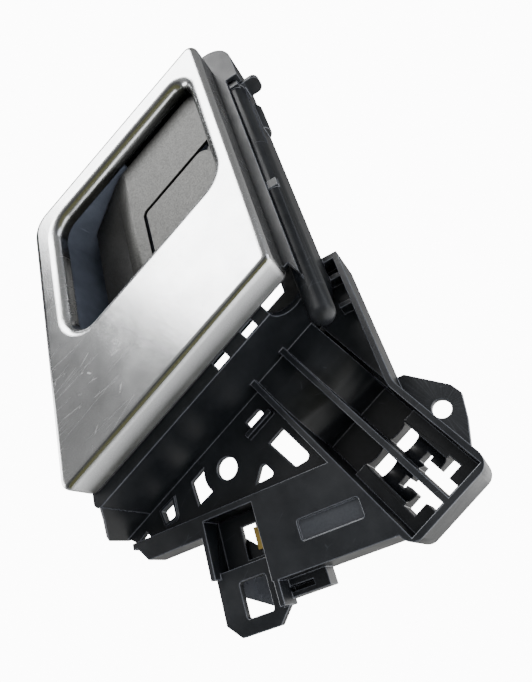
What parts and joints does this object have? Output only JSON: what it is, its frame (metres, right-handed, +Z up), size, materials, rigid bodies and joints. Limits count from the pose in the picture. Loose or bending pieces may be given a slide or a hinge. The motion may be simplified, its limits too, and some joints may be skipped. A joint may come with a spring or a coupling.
{
  "type": "car interior door handle",
  "caption": "Car interior door handle with a slanted silver bezel, hinged pull lever, lock tab, finger cup and a black carrier with a cable bracket and screw ear.",
  "frame": {"origin": "centre of the screw hole in the mounting ear, at the ear's cabin-side face", "axes": "+X from the finger-cup end to the hinge end, +Y into the door, +Z up"},
  "size_m": [0.1848, 0.062, 0.2085],
  "materials": {
    "satin_silver": "satin silver plating on plastic, fine grain",
    "graphite_paint": "satin graphite metallic paint",
    "black_grained": "fine grained black plastic",
    "black_moulding": "raw black moulding, semi-matt",
    "zinc_steel": "bright zinc plated",
    "yellow_zinc": "yellow passivated zinc",
    "spring_steel": "oiled spring steel",
    "rubber": "matt black rubber",
    "felt": "charcoal felt"
  },
  "bodies": {
    "frame": {"bezel": "satin_silver", "felt_strip": "felt", "carrier": "black_moulding", "finger_cup": "black_grained", "hinge_pin": "zinc_steel", "pin_clip": "spring_steel", "detent_spring": "spring_steel", "tongue_clip": "yellow_zinc", "lever_bump_stops": "rubber", "tab_bump_stop": "rubber", "cup_screws": "zinc_steel"},
    "lever": {"lever_cover": "graphite_paint", "lever_core": "black_grained", "lever_spring": "spring_steel"},
    "lock_tab": {"lock_cover": "graphite_paint", "lock_crank": "black_moulding"}
  },
  "joints": [
    {"name": "lever_pull", "type": "hinge", "parent": "frame", "child": "lever", "pos_m": [-0.02945, -0.0405, 0.02534], "axis": [0.4321, 0, 0.9018], "range_deg": [0, 28], "stiffness_Nm_per_rad": 0.12, "springref_deg": -22.92},
    {"name": "lock_tab_tilt", "type": "hinge", "parent": "frame", "child": "lock_tab", "pos_m": [-0.02945, -0.0405, 0.02534], "axis": [0.4321, 0, 0.9018], "range_deg": [0, 14]}
  ]
}
